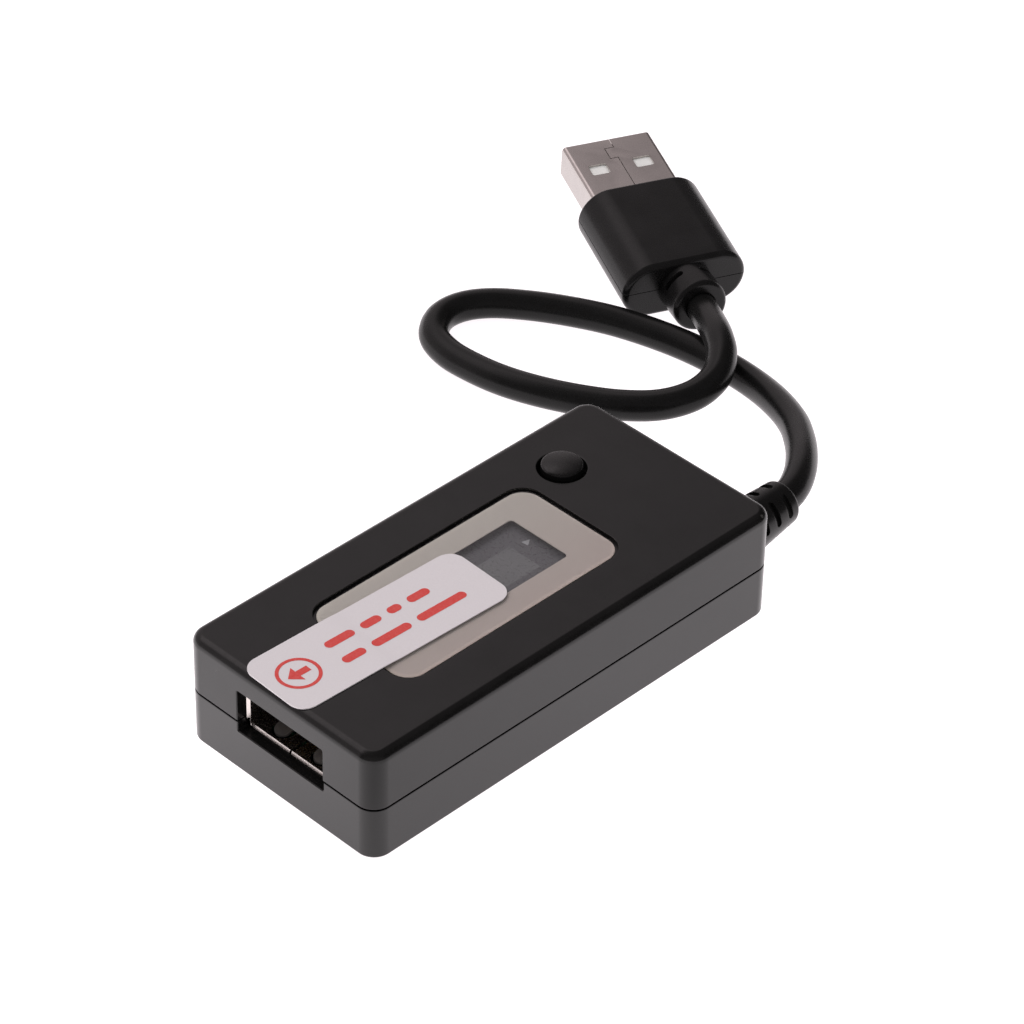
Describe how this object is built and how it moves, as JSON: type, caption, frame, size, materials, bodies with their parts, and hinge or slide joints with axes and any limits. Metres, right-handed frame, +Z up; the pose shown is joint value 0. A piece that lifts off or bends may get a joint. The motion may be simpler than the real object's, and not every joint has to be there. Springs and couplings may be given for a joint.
{
  "type": "usb power meter",
  "caption": "Small black inline meter box with a display panel, push button, front socket, and a short looped cord ending in a plug.",
  "frame": {"origin": "middle of the housing's flat underside", "axes": "+X across the housing, +Y along it from the socket end to the cord end, +Z up through the display"},
  "size_m": [0.0746, 0.1144, 0.0152],
  "materials": {
    "housing": "fine matte texture",
    "clear": "polished acrylic",
    "panel_print": "silver-beige ink under the clear panel",
    "film": "thin clear film",
    "sticker": "white sticker with plain red marks",
    "button": "satin",
    "black_plastic": "satin",
    "steel": "nickel plated sheet",
    "board": "green solder mask",
    "gold": "gold plated",
    "display": "grey display glass, off",
    "white_plastic": "plain white",
    "chip": "moulded black",
    "ceramic": "tan ceramic",
    "red_sleeve": "plain",
    "black_sleeve": "plain",
    "white_sleeve": "plain",
    "green_sleeve": "plain",
    "cord_rubber": "satin black"
  },
  "bodies": {
    "housing": {"bottom_cover": "housing", "top_cover": "housing", "display_lens": "clear", "lens_print": "panel_print", "switch_base": "black_plastic", "switch_cover": "steel", "switch_dome": "steel", "circuit_board": "board", "usb_socket_shell": "steel", "usb_socket_tongue": "black_plastic", "usb_socket_contacts": "gold", "lcd_cell": "display", "lcd_holder": "white_plastic", "lcd_pins": "steel", "controller_chip": "chip", "shunt_resistor": "chip", "regulator_chip": "chip", "small_chips": "ceramic", "solder_pads": "gold", "wire_red": "red_sleeve", "wire_black": "black_sleeve", "wire_white": "white_sleeve", "wire_green": "green_sleeve", "box_strain_relief": "cord_rubber", "cord": "cord_rubber", "plug_overmould": "cord_rubber", "plug_shell": "steel", "plug_insulator": "white_plastic", "plug_contacts": "gold"},
    "button": {"button_cap": "button"},
    "plunger": {"switch_plunger": "black_plastic"},
    "film": {"protective_film": "film", "peel_tab": "sticker"}
  },
  "joints": [
    {"name": "button_press", "type": "slide", "parent": "housing", "child": "button", "axis": [0, 0, -1], "range_m": [0, 0.0003], "stiffness_N_per_m": 4000},
    {"name": "plunger_press", "type": "slide", "parent": "housing", "child": "plunger", "axis": [0, 0, -1], "range_m": [0, 0.0003], "stiffness_N_per_m": 500, "deforming": ["switch_dome"]},
    {"name": "film_peel", "type": "slide", "parent": "housing", "child": "film", "axis": [0, 0, 1], "range_m": [0, 0.03]}
  ],
  "couplings": [
    {"joint": "plunger_press", "follows": "button_press", "ratio": 1}
  ]
}
